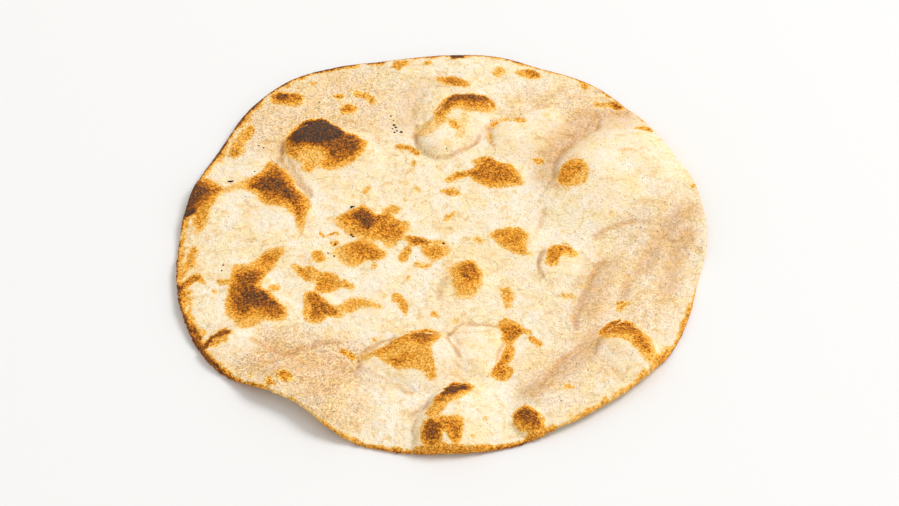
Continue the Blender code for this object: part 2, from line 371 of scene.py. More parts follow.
creases = {  # crest, depth, reach
    "charredBlisterLeft": ([
        (-78, 72), (-79.5, 64), (-79, 57), (-77, 49), (-73, 42), (-69, 36), (-65, 30)], 0.8, 2.6),
    "charredBlisterFold": ([(-75.5, 58), (-73, 49), (-69, 40), (-64, 32)], 0.5, 2),
    "farBlisterFoot": ([
        (-13, 80), (-13.5, 72), (-11, 64), (-7, 60), (-2, 58), (4, 59), (9, 62), (14, 66),
        (19, 73)], 0.8, 2.6),
    "farRightBlisterFoot": ([(26, 82), (23, 78), (22.5, 73), (24, 67)], 0.6, 2.2),
    "nearMiddleTop": ([
        (1.5, -61.5), (5, -57), (10, -54.5), (16, -54), (22, -54), (28, -57), (29.5, -62), (28, -69),
        (26, -77), (21, -85), (16, -90)], 0.9, 2.2),
    "nearLeftBlisterTop": ([
        (-39, -76), (-34, -69), (-26, -63.5), (-19, -61), (-12, -59), (-6, -58), (-1, -61)], 0.6, 2.2),
    "nearRightFold": ([(66, -67), (62, -70), (57, -74), (53, -79), (49, -86), (45, -91)], 0.9, 2.6),
    "bigSwellFoot": ([(64, 66), (59, 60), (55.5, 52), (54.5, 45), (56, 38), (60, 35)], 1.2, 3.2),
    "bigSwellFarValley": ([(57, 60), (63, 73), (72, 81), (84, 86), (98, 84), (112, 78)], 0.6, 12),
    "bigSwellFront": ([(73, 3), (80, 8), (87, 11), (97, 13)], 0.9, 4.5),
    "bigSwellStep": ([(63, 40), (68, 38), (74, 33)], 0.5, 4),
    "betweenNearBlisters": ([(1.5, -61.5), (5, -66), (8.5, -73)], 1.0, 2.4),
    "nearLeftLine": ([(-100, -59), (-84, -64), (-78, -69), (-70, -71), (-60, -67), (-50, -63)], 1.0, 5),
    "nearLeftFold": ([(-50, -68), (-46, -73), (-39, -77)], 0.7, 3),
    "nearLeftValley": ([(-86, -88), (-74, -80), (-60, -78), (-46, -84)], 1.5, 10),
    "nearLeftBlisterFoot": ([(-40, -77), (-32, -82), (-25, -88), (-14, -95), (-5, -98)], 0.9, 4),
    "nearRightValley": ([(74, -60), (60, -73), (47, -86), (35, -96)], 1.5, 7),
    "rightLine": ([
        (82, -11), (77, -13.5), (72, -21), (68, -32), (65.5, -41), (63, -49), (62, -56)], 0.9, 3.2),
    "outerRightLine": ([(94, -19), (90, -24), (87, -30), (85, -36)], 0.7, 3),
    "rightEdgeValley": ([(120, 20), (114, 16), (108, 8), (104, -2), (97, -16)], 1.3, 6),
    "outerRightEdgeValley": ([(116, 6), (111, -12), (107, -31)], 0.9, 8),
    "middleRightLine": ([(48, 24), (49, 18), (48, 10), (43, 3)], 0.7, 3.5),
    "smallRightRing": ([(67, -9), (68, -16), (67, -23), (63, -27), (57, -29)], 0.5, 3.5),
    "smallMiddleLeft": ([(3, -22), (-1, -27), (-3, -37)], 0.5, 3),
    "smallMiddleRight": ([(4, -23), (4, -30), (5, -38)], 0.4, 2.5),
    "middleArc": ([(-38, 28), (-28, 33), (-15, 33), (-8, 28)], 0.35, 2.5),
    "middleArcEnd": ([(-18, 30), (-15, 24), (-12, 20), (-13, 15)], 0.3, 2.5),
    "farLeftArc": ([(-37, 38), (-34, 46), (-30, 53)], 0.35, 3),
    "farBlisterSide": ([(-20, 63), (-24, 57), (-30, 55)], 0.4, 3),
    "farBlisterHalo": ([(-15, 86), (-15, 95), (-12, 104), (-5, 111), (4, 113)], 0.9, 6),
    "farRightFold": ([(74, 109), (67, 106), (62, 100), (61, 92)], 0.3, 5),
}

relief = {
    "lumps": (0.55, 24.0),        # uneven dough: height and size of the forms, in mm
    "undulations": (0.42, 9.0),
    "wrinkles": (0.924, 4.2),
    "grain": (0.06, 1.9),
    "slant": 38.0,                # degrees that the wrinkles of the right side are turned
    "stretch": 0.4,               # the width of such a wrinkle as a share of its length
    "rightSide": (10.0, 70.0),    # mm from the middle over which they take over
    "footTurn": (-13.5, 31.5),    # degrees past a blister's crisp side over which its foot runs out
    "creaseProfile": 1.6,         # more than 1 is sharp at the bottom
    "rimCalm": 6.0,               # mm beside the edge where the relief fades
    "tautHeight": 3.0,            # mm that a blister rises before its skin is taut
}


def blisterHeights(plan):
    plan = wobble(wobble(plan, 21, 2.2, 1), 6, 0.7, 3)
    total = np.zeros(len(plan))
    for crest, height, reach, softReach, crispFrom, crispTo in blisters.values():
        distance, direction = distanceToLine(plan, crest)
        middle, half = (crispFrom + crispTo) / 2, (crispTo - crispFrom) / 2
        outside = np.abs((direction - middle + 180) % 360 - 180) - half
        softness = ramp(outside, *relief["footTurn"]) * (softReach > reach)
        closeness = np.clip(1 - distance / (reach + (softReach - reach) * softness), 0, 1)
        total = larger(total, height * ((1 - softness) * sphere(closeness) + softness * smooth(closeness)))
    return total


def creaseDepths(plan):
    plan = wobble(plan, 8, 1.4, 5)
    total = np.zeros(len(plan))
    for crest, depth, reach in creases.values():
        line = curveThrough(crest)
        near = within(plan, line, reach)
        closeness = np.clip(1 - distanceToLine(plan[near], line)[0] / reach, 0, 1)
        total[near] += depth * closeness ** relief["creaseProfile"]
    return total


def wrinkled(plan, size, seed):  # sharp wrinkles with finer ones between them
    return np.abs(noiseField(plan, size, seed)) + 0.5 * np.abs(noiseField(plan, size / 2, seed + 1))


def reliefHeights(plan):
    # on the right the dough was stretched on a slant, so its wrinkles run that way
    slant = math.radians(relief["slant"])
    turned = plan @ np.array([[math.cos(slant), -math.sin(slant)], [math.sin(slant), math.cos(slant)]])
    start, end = relief["rightSide"]
    onRight = ramp(plan[:, 0], start, end) * ramp(plan[:, 1], end, start)
    height, size = relief["wrinkles"]
    slanted = wrinkled(wobble(turned * (relief["stretch"], 1.0), 9, 1.5, 11), size, 13)
    crumpled = wrinkled(wobble(plan, 12, 3, 15), size * 1.2, 17)
    patchy = 0.4 + 0.6 * ramp(noiseField(plan, 30, 19), -0.5, 0.5)  # calm and crumpled areas
    total = height * patchy * (1.5 * onRight * slanted + (1 - onRight) * crumpled)
    for name, seed, octaves in (("lumps", 20, 1), ("undulations", 22, 2), ("grain", 24, 1)):
        height, size = relief[name]
        total += height * noiseField(plan, size, seed, octaves)
    return total


def tautness(raised):  # 1 where a blister has stretched the skin smooth
    return ramp(raised, 0, relief["tautHeight"])


def displace(piece, name, heights, direction):
    # moves each vertex up or down by its height in mm: a painted vertex group and a Displace modifier
    levels = 4000  # steps of height
    most = heights.max()
    steps = np.round(heights / most * levels).astype(int)
    group = piece.vertex_groups.new(name=name)
    for step in np.unique(steps[steps > 0]):
        group.add(np.flatnonzero(steps == step).tolist(), step / levels, "REPLACE")
    move = piece.modifiers.new(name, "DISPLACE")
    move.direction = "Z"
    move.mid_level = 0
    move.strength = direction * most * mm
    move.vertex_group = name
    bpy.ops.object.modifier_apply(modifier=name)
    piece.vertex_groups.remove(piece.vertex_groups[name])


def raiseBlisters(disc):  # returns how far each vertex was raised by blisters, in mm
    only(disc)
    plan = placesOf(disc)[:, :2]
    onTop = np.clip(normalsOf(disc)[:, 2] * 1.6 - 0.3, 0, 1)  # less on the steep edge, none below
    inward = ramp(edgeDistance(plan), 0, relief["rimCalm"])
    raised = blisterHeights(plan) * onTop
    slack = (0.25 + 0.75 * inward) * (1 - 0.6 * tautness(raised))
    heights = raised + (reliefHeights(plan) * slack - creaseDepths(plan) * inward) * onTop
    displace(disc, "raised", np.clip(heights, 0, None), 1)
    displace(disc, "sunk", np.clip(-heights, 0, None), -1)
    return raised


def roughenEdge(disc):
    # the baked edge is nibbled, most of all along the near side
    places = placesOf(disc)
    inside = edgeDistance(places[:, :2])
    directions = compass(places)
    nearSide = ramp(directions, 335, 320) * ramp(directions, 170, 190)
    least, most = dough["bite"]
    bite = (least + (most - least) * nearSide) * np.clip(1 - inside / dough["biteReach"], 0, 1)
    spots = places[:, :2] + places[:, 2:] * 0.5  # so that the teeth also change with height
    teeth = np.clip(noiseField(spots, dough["toothSize"], 31) + 0.2, -0.4, 1)
    inwards = 1 - bite * teeth / np.maximum(np.hypot(places[:, 0], places[:, 1]), 1)
    for vertex, scale in zip(disc.data.vertices, inwards):
        if scale != 1:
            vertex.co.xy *= scale


def fitInBox(disc, box):  # centred in plan in the CAD box, and no larger than it
    places = placesOf(disc)
    low, high = places.min(axis=0), places.max(axis=0)
    boxLow, boxHigh = np.array(box) / mm
    disc.scale = np.minimum(1, (boxHigh - boxLow) / (high - low))
    middle = (boxLow + boxHigh) / 2 - (low + high) / 2 * disc.scale
    disc.location = Vector((middle[0], middle[1], -low[2] * disc.scale[2])) * mm
    only(disc)
    bpy.ops.object.transform_apply(location=True, rotation=False, scale=True)


# Scorch marks, placed in mm where each shows from the front, 47 degrees up. How dark a mark is:
# 0.3 to 0.45 golden, 0.6 brown, 0.8 dark brown, 1 black.

scorchPatches = {  # nested outlines: tone, softness of the edge, corners of the outline
    "charredBlister": [
        (0.34, 3.5, [
            (-79, 66), (-78, 75), (-70, 83), (-62, 85), (-55, 81), (-49, 76), (-40, 72), (-36, 67), (-38, 62),
            (-43, 55), (-49, 50), (-56, 48), (-62, 50.5), (-68, 53), (-73, 56), (-77, 58)]),
        (0.46, 3, [
            (-78, 66), (-77, 73), (-70, 80), (-58, 80), (-46, 73), (-39, 69), (-38, 64), (-43, 57), (-48, 54),
            (-55, 51), (-58, 54), (-58, 60), (-62, 63), (-68, 62), (-72, 62), (-76, 61)]),
        (0.66, 2.5, [
            (-77, 70), (-74, 77), (-62, 85), (-50, 76), (-41, 71), (-40, 66), (-43, 60), (-48, 57.5),
            (-53, 53), (-56, 56), (-58, 62), (-63, 65), (-70, 65), (-75, 66)]),
        (0.82, 2.2, [
            (-75.5, 71), (-72, 80), (-62, 85), (-54, 80), (-49, 75), (-42, 71.5), (-42, 66), (-44, 62),
            (-49, 62), (-53, 58.5), (-56, 60), (-58, 63.5), (-63, 67), (-69, 66.5), (-74, 67)]),
        (1.0, 3.5, [
            (-74, 72), (-71, 80), (-62, 85), (-55, 81), (-50, 75.5), (-54, 70), (-60, 69), (-67, 69),
            (-72, 69)])],
    "trianglePatch": [
        (0.32, 4, [
            (-85, 56), (-77, 49), (-71, 37), (-64, 26), (-65, 18), (-67, 7), (-69, 5), (-72, 15), (-77, 23),
            (-84, 24), (-90, 27), (-94, 33), (-100, 37), (-100, 42), (-94, 44), (-89, 50)]),
        (0.5, 3, [
            (-84.5, 54), (-78, 48), (-72, 37.5), (-66, 27), (-66.5, 20), (-68, 12), (-71, 16), (-75, 23),
            (-81, 25.5), (-87, 27), (-91, 34), (-97, 38), (-95, 42.5), (-89, 47)]),
        (0.67, 3, [
            (-84, 51), (-79.5, 47.5), (-74, 38), (-69, 29), (-68, 23), (-70, 17), (-73, 23), (-78, 28.5),
            (-87, 31), (-91, 36), (-95, 39), (-92, 43), (-86, 46)]),
        (0.83, 4, [
            (-84, 46), (-79.5, 45), (-75.5, 37), (-71, 29.5), (-74, 28), (-80, 32), (-87, 34), (-93, 38.5),
            (-90, 42.5)]),
        (0.9, 3.5, [(-88, 41.5), (-80, 42), (-76, 36), (-74, 31), (-77, 33), (-80, 38), (-88, 39)])],
    "leftRim": [
        (0.34, 4, [
            (-121, 46), (-115, 42), (-106, 38), (-105.5, 35), (-109, 30), (-111.5, 24), (-113, 14), (-117, 5),
            (-120, 5), (-121, 13), (-123.5, 16.5), (-129, 13), (-129, 30)]),
        (0.46, 3, [
            (-120, 43), (-113, 40), (-107.5, 37), (-110.5, 31), (-113.5, 24), (-115, 15), (-118.5, 8),
            (-120.5, 13), (-122, 17.5), (-128, 15), (-129, 25)]),
        (0.7, 3, [
            (-124, 37), (-118.5, 41.5), (-114.5, 39), (-109, 36.5), (-112.5, 32), (-116, 26.5), (-120, 21.5),
            (-128, 19), (-127, 28)]),
        (0.9, 3, [(-124, 36), (-119.5, 39), (-115, 35.5), (-118, 29.5), (-121.5, 23), (-127, 21)]),
        (1.0, 1.8, [
            (-129, 16), (-126.5, 19), (-123, 22), (-119.5, 21), (-122, 18.5), (-125, 17), (-129, 13)])],
    "farBlister": [
        (0.36, 3.5, [
            (-5, 84), (-4, 92), (1, 99), (13, 103), (23, 101), (28, 93), (24, 89), (15, 89.5), (6, 91),
            (2, 84), (-2, 79)]),
        (0.58, 3, [
            (-3.5, 87), (-2.5, 93), (2, 99), (13, 103), (22, 101), (26.5, 94), (20, 93), (12, 93.5),
            (4.5, 94), (1, 89), (-1.5, 85)]),
        (0.8, 2.2, [(1, 95), (4, 101), (13, 103), (21, 101), (23, 97), (13, 97.5), (5, 98)])],
    "middleFarPatch": [
        (0.38, 3, [
            (14, 56), (22, 58), (30, 54.5), (35, 53), (38, 46), (41, 40), (34, 37), (24, 35.5), (17, 39),
            (12, 44.5), (4, 39.5), (1, 43), (7, 48), (16, 51)]),
        (0.52, 2.6, [
            (19, 56), (23, 57), (33, 52), (37, 45), (37, 40), (28, 38.5), (20, 39), (13, 45.5), (6, 43),
            (4, 44.5), (9, 48), (16, 50)]),
        (0.64, 2.6, [
            (20, 54), (22, 56.5), (27, 54), (33, 50), (34.5, 45), (31, 41.5), (23, 41), (17, 44), (13, 48),
            (18, 49.5)])],
    "middleLeftPatch": [
        (0.36, 3.5, [
            (-53, 17), (-46, 22), (-38, 26), (-33, 20), (-25, 19), (-20, 15), (-15, 14), (-17, 7), (-20, 2),
            (-26, -4), (-30, 0), (-39, 2), (-47, 6), (-51, 11)]),
        (0.5, 3, [
            (-49, 17), (-43, 22), (-37, 24.5), (-33, 18.5), (-25, 18), (-20, 12), (-20, 4), (-27, 2),
            (-36, 4), (-44, 9), (-48, 13)]),
        (0.6, 3, [(-31, 14), (-24, 13), (-20, 8), (-21, 4.5), (-26, 3.5), (-31, 7)]),
        (0.68, 2.6, [
            (-47, 16.5), (-42, 21), (-37, 23), (-33, 18), (-25.5, 17), (-29, 14), (-33.5, 11), (-37, 8.5),
            (-42, 12.5)]),
        (0.86, 2.6, [(-42, 20), (-37, 20), (-33.5, 15.5), (-34.5, 10.5), (-38, 11.5), (-43, 16)])],
    "middlePatch": [
        (0.32, 3, [
            (-20, 5), (-8, 2.5), (2, 1), (4, -6), (0, -11), (-6, -14), (-9, -9), (-12, -4), (-16, -2)]),
        (0.5, 2.4, [(-9, -3), (-2, -3), (1, -6), (-2, -10.5), (-7, -9)]),
        (0.7, 2, [(-17, 3), (-13, 3.6), (-6, 0.6), (-9, -1.6), (-14, -0.8)])],
    "middleLeftFrontPatch": [
        (0.34, 3.5, [
            (-53, -7), (-46, 0), (-38, 2.5), (-31, -2), (-26, -7), (-29, -12), (-37, -12), (-42, -17),
            (-47, -15)]),
        (0.47, 3, [(-47, -4), (-42, 1), (-36, 0), (-28, -6), (-30, -11), (-37, -11), (-42, -14), (-45, -11)]),
        (0.6, 3, [(-44, -2), (-39, 0.5), (-33, -3), (-29, -7), (-33, -11), (-39, -9), (-43, -6)])],
    "middleRightPatch": [
        (0.36, 2.6, [
            (22, 4.5), (26, 8.5), (31, 9), (35, 11), (40, 9), (42, 3), (41.5, -3), (43.5, -9), (36, -8),
            (29, -4), (25, 1)]),
        (0.47, 3, [(24, 5), (28, 7), (32, 9.5), (37, 9.5), (40, 5), (39, 0), (40, -6), (34, -5), (29, 0)]),
        (0.55, 3, [(26, 5.5), (32, 7), (36, 8), (38, 4), (36, -1), (31, 0)])],
    "smallRightBlister": [
        (0.36, 2.4, [
            (49.5, -15), (50, -7), (53, -2), (59, -0.5), (64, -3), (66, -9), (61, -10), (57, -9), (55, -16)]),
        (0.56, 2.2, [
            (51, -13), (51.5, -6), (55, -2), (61, -2), (64, -6.5), (61, -6.5), (57, -7), (54, -13)])],
    "smallMiddleBlister": [
        (0.3, 4, [
            (2, -17), (8, -12.5), (16, -13), (20, -19), (20.5, -26), (17, -34), (10, -38), (6, -34),
            (4, -25)]),
        (0.44, 3.5, [
            (5.5, -16), (12, -13), (17.5, -17), (18.5, -24), (15, -30), (11, -33), (7.5, -30), (5.5, -22)]),
        (0.68, 4, [(9, -15), (13, -12.5), (17, -16), (17, -23), (13, -26), (10, -22)])],
    "farRim": [
        (0.4, 3, [(-2.5, 115.5), (5.5, 115.5), (14, 111.5), (13, 107.5), (5, 108.5), (-1, 110.5)]),
        (0.62, 3.5, [(0, 114), (7.5, 114), (11.5, 110.5), (5, 110)]),
        (0.38, 3.5, [(24.5, 119.5), (29, 123), (33, 120.5), (30, 115.5), (26, 116)]),
        (0.4, 3.5, [(37, 119), (43, 121.5), (50, 117.5), (50.5, 114.5), (45.5, 113.5), (39.5, 116)]),
        (0.66, 3, [(42, 119), (46, 120), (49, 116.5), (45, 115.5)]),
        (0.46, 3, [(70, 113), (73, 112), (75, 108.5), (72, 105.5), (70.5, 108)]),
        (0.38, 3, [(76, 97), (82, 97), (87, 97), (91, 93), (88.5, 91), (84, 92.5), (78, 93)]),
        (0.68, 2.4, [(84.5, 96.5), (88, 96), (90.5, 93), (87, 92)]),
        (0.5, 2.4, [(96.5, 79), (102, 79.5), (105.5, 76), (100.5, 76)]),
        (0.42, 2.4, [(81.5, 105), (86, 102.5), (88, 100.5), (84, 100)])],
    "nearLeftEdge": [
        (0.42, 3, [(-77, -83), (-74, -80.5), (-70.5, -82), (-68.5, -87.5), (-72.5, -88.5), (-75.5, -87)]),
        (0.62, 3, [(-76, -83), (-73.5, -81.5), (-71.5, -83.5), (-74, -86)]),
        (0.5, 2.6, [(-82.5, -87), (-80, -84.5), (-77, -88), (-80, -90.5)]),
        (0.5, 3, [
            (-128, -34), (-126, -29), (-123, -25), (-119.5, -21), (-115, -21.5), (-113, -27.5), (-118.5, -26),
            (-121, -29), (-124, -34)]),
        (0.68, 3, [(-127, -31), (-123, -26), (-119.5, -22.5), (-116, -23.5), (-121, -27.5), (-125, -33)])],
    "frontLeft": [
        (0.4, 5, [
            (-51, -42.5), (-46, -38), (-42, -35.5), (-35, -37.5), (-28, -41.5), (-30, -44), (-38, -43),
            (-44, -46)]),
        (0.46, 3, [(-61, -22), (-55, -19), (-50, -22), (-49, -29), (-54, -33), (-60, -31)]),
        (0.56, 4, [(-58, -24), (-54, -22), (-52, -26), (-55, -30), (-59, -28)]),
        (0.5, 4, [(-73, -15), (-68, -15), (-63, -19), (-62, -26), (-66, -25), (-70, -20)]),
        (0.46, 3, [(-63, -6), (-58, -6), (-55.5, -11), (-59, -14), (-63, -12)])],
    "leftSpot": [
        (0.4, 3, [
            (-66, -34), (-62, -31.5), (-57, -35), (-50, -43), (-46, -48.5), (-53, -49), (-59, -53),
            (-65, -51), (-66, -42)]),
        (0.64, 2.6, [
            (-64, -35), (-61, -32.5), (-56, -38), (-50, -44), (-51, -47), (-56, -47), (-61, -49),
            (-62, -41)])],
    "leftPatch": [
        (0.36, 3.5, [
            (-101, -15), (-96, -14), (-91, -12), (-84, -4), (-76, -3), (-76, -9), (-81, -18), (-86, -27),
            (-80, -34), (-73, -43), (-74, -50), (-84, -52), (-94, -56), (-102, -47), (-103, -38),
            (-101, -26)]),
        (0.5, 3, [
            (-99, -18), (-92, -17), (-86, -9), (-79, -6), (-79, -12), (-84, -19), (-87.5, -27), (-82, -34),
            (-75, -43), (-77, -49), (-86, -47), (-94, -50), (-101, -44), (-101, -33)]),
        (0.68, 3, [
            (-98, -22), (-92, -19), (-86, -19.5), (-89, -27), (-84, -33), (-76, -42), (-77, -47.5),
            (-83, -46), (-88.5, -42), (-93, -47), (-100, -43), (-100, -32)]),
        (0.64, 2, [(-87, -8), (-80, -9.5), (-79, -11.5), (-84, -12)]),
        (0.78, 4, [(-98, -23), (-89, -19.5), (-89, -25), (-94, -27)]),
        (0.8, 4, [
            (-96, -34), (-93, -30), (-83, -36), (-78, -42), (-81, -44), (-88, -41), (-94, -45), (-98, -40)]),
        (0.86, 4, [(-94, -31), (-90, -29.5), (-80, -38.5), (-82, -41), (-88, -40), (-94, -38)])],
    "nearLeftBlister": [
        (0.4, 3, [
            (-39, -75), (-33, -69), (-24, -62.5), (-14, -58), (-8, -56.5), (0, -59), (-4, -66), (-4, -73),
            (-2, -84), (-6, -88), (-10, -81), (-19, -81.5), (-25, -78), (-31, -73)]),
        (0.52, 2.4, [
            (-30, -69), (-20, -61), (-8, -56.5), (-3, -60), (-6, -64), (-14, -63.5), (-22, -67), (-28, -71)]),
        (0.52, 3, [(-24, -76), (-19, -71), (-12, -71), (-14, -75), (-20, -78)]),
        (0.7, 4, [(-14, -61), (-9.5, -56.5), (-4.5, -59), (-6, -63), (-10, -64)])],
    "nearMiddleRight": [
        (0.42, 2.6, [(26, -52), (31, -49), (38, -54), (42, -59), (36, -61), (33, -65), (28, -63), (28, -57)]),
        (0.62, 2.4, [(27, -54.5), (33, -54), (38, -57.5), (35, -61), (31, -62.5), (29, -58)]),
        (0.46, 2.6, [(40, -61), (44, -61), (48, -66), (44, -67.5)]),
        (0.44, 2.6, [
            (30, -65), (34, -67), (34, -74), (31, -78), (34, -82), (29, -88), (22, -85), (25, -78),
            (28, -70)]),
        (0.57, 2.6, [(29.5, -68), (32, -71), (29, -77), (30, -84), (25, -85), (25, -79)])],
    "nearEdgeBlister": [
        (0.42, 2.6, [
            (-7, -107), (-5, -101), (2, -92), (8, -88), (16, -90.5), (11, -96), (4, -100), (0, -106),
            (-5, -109)]),
        (0.62, 2, [(-3, -100), (2, -92), (7, -89.5), (14, -90.5), (10, -93.5), (4, -96.5), (0, -100)]),
        (0.94, 1.8, [(0, -96), (3, -91), (9, -89), (13.5, -91), (8, -93.5), (3, -96)]),
        (0.42, 2.6, [
            (-10, -116), (-7.5, -110.5), (-3, -108.5), (2, -107.5), (8, -108), (10, -113), (9, -122),
            (6, -129), (3, -121), (1, -119), (-1, -126), (-6, -129), (-9.5, -123)]),
        (0.54, 3, [
            (-8.5, -116), (-6.5, -111), (-2, -110.5), (2, -110), (7.5, -110), (8.5, -115), (7.5, -123),
            (5, -125), (3, -118), (0, -117), (-2, -124), (-6, -126), (-8.5, -122)]),
        (0.66, 3, [(2.5, -112.5), (6.5, -112), (7, -117), (6, -122), (4, -118)]),
        (0.8, 3.5, [(-7.5, -116), (-5.5, -111), (-2, -113), (-1.5, -118), (-4.5, -123), (-7, -121)])],
    "smallNearEdgeBlister": [
        (0.42, 3, [(32, -110), (35, -104), (41, -103), (47, -110), (47, -118), (41, -121), (34, -117)]),
        (0.63, 3, [(33, -109), (38, -104), (44, -108), (45, -117), (40, -117), (35, -112)]),
        (0.8, 3.5, [(34.5, -108), (39, -105), (43, -109), (43, -114), (38, -113)])],
    "rightBlister": [
        (0.38, 3.5, [
            (73, -61), (76, -54), (84, -50), (92, -53), (98, -62), (100, -74), (95, -76), (90, -68),
            (84, -62), (78, -62)]),
        (0.62, 2.4, [
            (74, -58.5), (79, -52), (85, -50), (92, -55), (96, -64), (96.5, -70), (92, -66), (88, -59),
            (80, -58)]),
        (0.72, 1.6, [(75, -57), (80, -51), (87, -51), (92, -56), (86, -54.5), (80, -55)])],
    "bigSwell": [
        (0.36, 2.8, [(56.5, 41), (58, 49), (62, 55.5), (69, 56), (72.5, 49), (70, 40), (64, 37), (59, 37)]),
        (0.54, 2.6, [(57, 43), (58.5, 50), (63, 53), (68, 54), (68, 48), (64, 44), (61, 39)])],
}

scorchSpots = {  # brush strokes: tone, reach, line
    "farLeftSpots": [
        (0.47, 4.6, [(-103, 60), (-102, 66)]), (0.36, 4.6, [(-102, 66), (-99, 74)]),
        (0.42, 4, [(-99, 72), (-95.5, 78)]), (0.3, 3, [(-110, 66)]),
        (0.4, 6, [(-83, 99), (-77, 99), (-74, 98.5)]), (0.66, 4, [(-83, 101), (-79, 100.5), (-75, 99.5)]),
        (0.88, 2.8, [(-82.5, 101.5), (-79, 101)]), (0.36, 3, [(-78, 108.5)]), (0.42, 2.5, [(-65.5, 110)])],
    "farSpots": [
        (0.5, 2.2, [(-54, 100.5), (-51, 100.5)]), (0.42, 3, [(-44, 103.5), (-39, 101.5), (-35, 98)]),
        (0.64, 4.5, [(-48, 92.5), (-47, 92)]), (0.4, 3.2, [(-50, 90), (-45, 91)]), (0.35, 1.6, [(-52.5, 86)]),
        (0.4, 3, [(-45, 124)]), (0.48, 2.8, [(-24, 124), (-19, 125)]), (0.4, 2, [(-22, 121.5)]),
        (0.38, 3, [(-8, 126)]), (0.95, 2.2, [(5, 130.5), (10, 131)])],
    "farMiddleSpots": [
        (0.52, 2.6, [(-21, 65.5), (-16.5, 64), (-12.5, 61.5)]), (0.36, 3, [(-14, 53.5)])],
    "farRightBlister": [
        (0.5, 1.6, [(24, 80), (26.5, 82.6)]), (0.3, 2.6, [(29, 83.5), (33, 84)]),
        (0.44, 2.4, [(37, 84), (40.5, 84)]), (0.36, 1.6, [(23.5, 74), (24, 70)]), (0.26, 3, [(52, 88)])],
    "middleFarSpots": [
        (0.46, 4, [(4, 34)]), (0.4, 2.5, [(0.5, 35), (7, 33)]), (0.4, 2.8, [(3, 18)]), (0.38, 2, [(6, 19.5)]),
        (0.36, 2, [(2, 15.5)]), (0.35, 2.4, [(-36.5, 37), (-38, 34)]), (0.22, 3.5, [(-19, 40)]),
        (0.34, 2.6, [(-12.5, 35.5)]), (0.32, 2, [(-18, 28.5)])],
    "frontOfMiddleSpots": [
        (0.42, 4.4, [(30, -32), (31, -37)]), (0.36, 3, [(31, -41)]),
        (0.48, 3.2, [(-21, -35), (-19, -39), (-18, -43)]), (0.4, 2, [(-17, -46.5)]), (0.4, 2.3, [(-22, -38)]),
        (0.4, 2, [(-16.5, -22.5)]), (0.38, 2, [(-4, -46), (-2.5, -48)]), (0.26, 3, [(6, -51)]),
        (0.18, 3, [(-18, -56), (-24, -56)])],
    "nearLeftRim": [
        (0.86, 2.8, [(-127, -29), (-126, -33)]), (0.44, 3.6, [(-121, -15), (-120, -5)]),
        (0.5, 2.5, [(-126, -8)]),
        (0.84, 2, [(-112, -69), (-109.5, -65.5), (-107.5, -61.5), (-104.5, -58.5), (-100, -57.5)]),
        (0.4, 4, [(-108, -65), (-103, -61)]), (0.42, 1.8, [(-98.5, -58)]), (0.44, 3.4, [(-107, -65)]),
        (0.76, 3, [(-118, -56), (-116, -60), (-113, -66)]), (0.74, 3.4, [(-110, -74), (-106, -78)]),
        (0.6, 2.8, [(-102, -82), (-98, -86)]), (0.5, 2.5, [(-94, -89)]), (0.42, 2.5, [(-112, -58)]),
        (0.34, 1.6, [(-88.5, -84.5)]), (0.4, 1.6, [(-77, -90)]),
        (0.5, 2.5, [(-47, -69.5), (-44.5, -71), (-41.5, -74)])],
    "rightSpots": [
        (0.45, 2.9, [(84, -41)]), (0.36, 2.4, [(87, -39), (83, -44)]), (0.34, 2, [(66, -29)]),
        (0.28, 2.6, [(63, -34), (58, -35)]), (0.2, 2, [(47, -41)]), (0.48, 1.9, [(58, -91)]),
        (0.38, 1.6, [(60.5, -91)]), (0.3, 2.4, [(59, -109)]), (0.35, 2.5, [(75, -99)])],
    "farRightSpots": [
        (0.52, 1.8, [(122, 38)]), (0.16, 3, [(108, 24)]), (0.34, 1.6, [(109, -14)])],
    "aroundPatches": [
        (0.48, 4.4, [(-66.8, 50.5)]), (0.56, 3, [(-74, 61)]), (0.56, 3.5, [(-57, 53)]),
        (0.3, 3, [(-98, 39), (-105, 35)]), (0.42, 3.4, [(-27, 20.5), (-25, 22.5), (-22, 21.5)]),
        (0.24, 4, [(-54, 16)]), (0.66, 0.9, [(-59, 7), (-57.5, 4)]),
        (0.6, 0.8, [(-56, 4.5), (-52, 6), (-50, 5)]), (0.7, 0.9, [(-50, -1), (-53, -2.5)]),
        (0.4, 2, [(-53.5, -1), (-51, 0)]), (0.44, 2.8, [(-17, -4), (-18.5, -11)]), (0.46, 2.2, [(-9, -15.5)]),
        (0.36, 3, [(-12, -15), (-7, -16)]), (0.36, 2.6, [(-33, -15.5)]), (0.36, 2.6, [(16, 2.5), (19, 0.5)]),
        (0.42, 3.6, [(-80, -29.5)]), (0.4, 2.8, [(-106, -25.5), (-102, -25.5)]), (0.36, 2.6, [(-108.5, -32)]),
        (0.42, 3.2, [(-47, -26.5), (-44.5, -28)]), (0.42, 2.8, [(-64, -17), (-60.5, -20)])],
    "onBlisters": [
        (0.42, 3.4, [(4.5, 81.5), (7, 79)]), (0.24, 4, [(11, 88), (9, 73)]), (0.28, 6, [(-6, 80), (-9, 76)]),
        (0.58, 3, [(-21.5, -76)]), (0.4, 2.4, [(-31.5, -62.5)]), (0.3, 3.5, [(-36, -73)]),
        (0.24, 2.6, [(14, -102)]), (0.26, 2.6, [(20, -110)]), (0.28, 2.6, [(14, -121)]),
        (0.44, 3.2, [(47.5, 55)]), (0.26, 2.4, [(61, 35)])],
}

stopsAtCrest = (  # patches that end at the far side of their blister
    "charredBlister", "farBlister", "nearLeftBlister", "nearEdgeBlister", "rightBlister", "smallRightBlister")

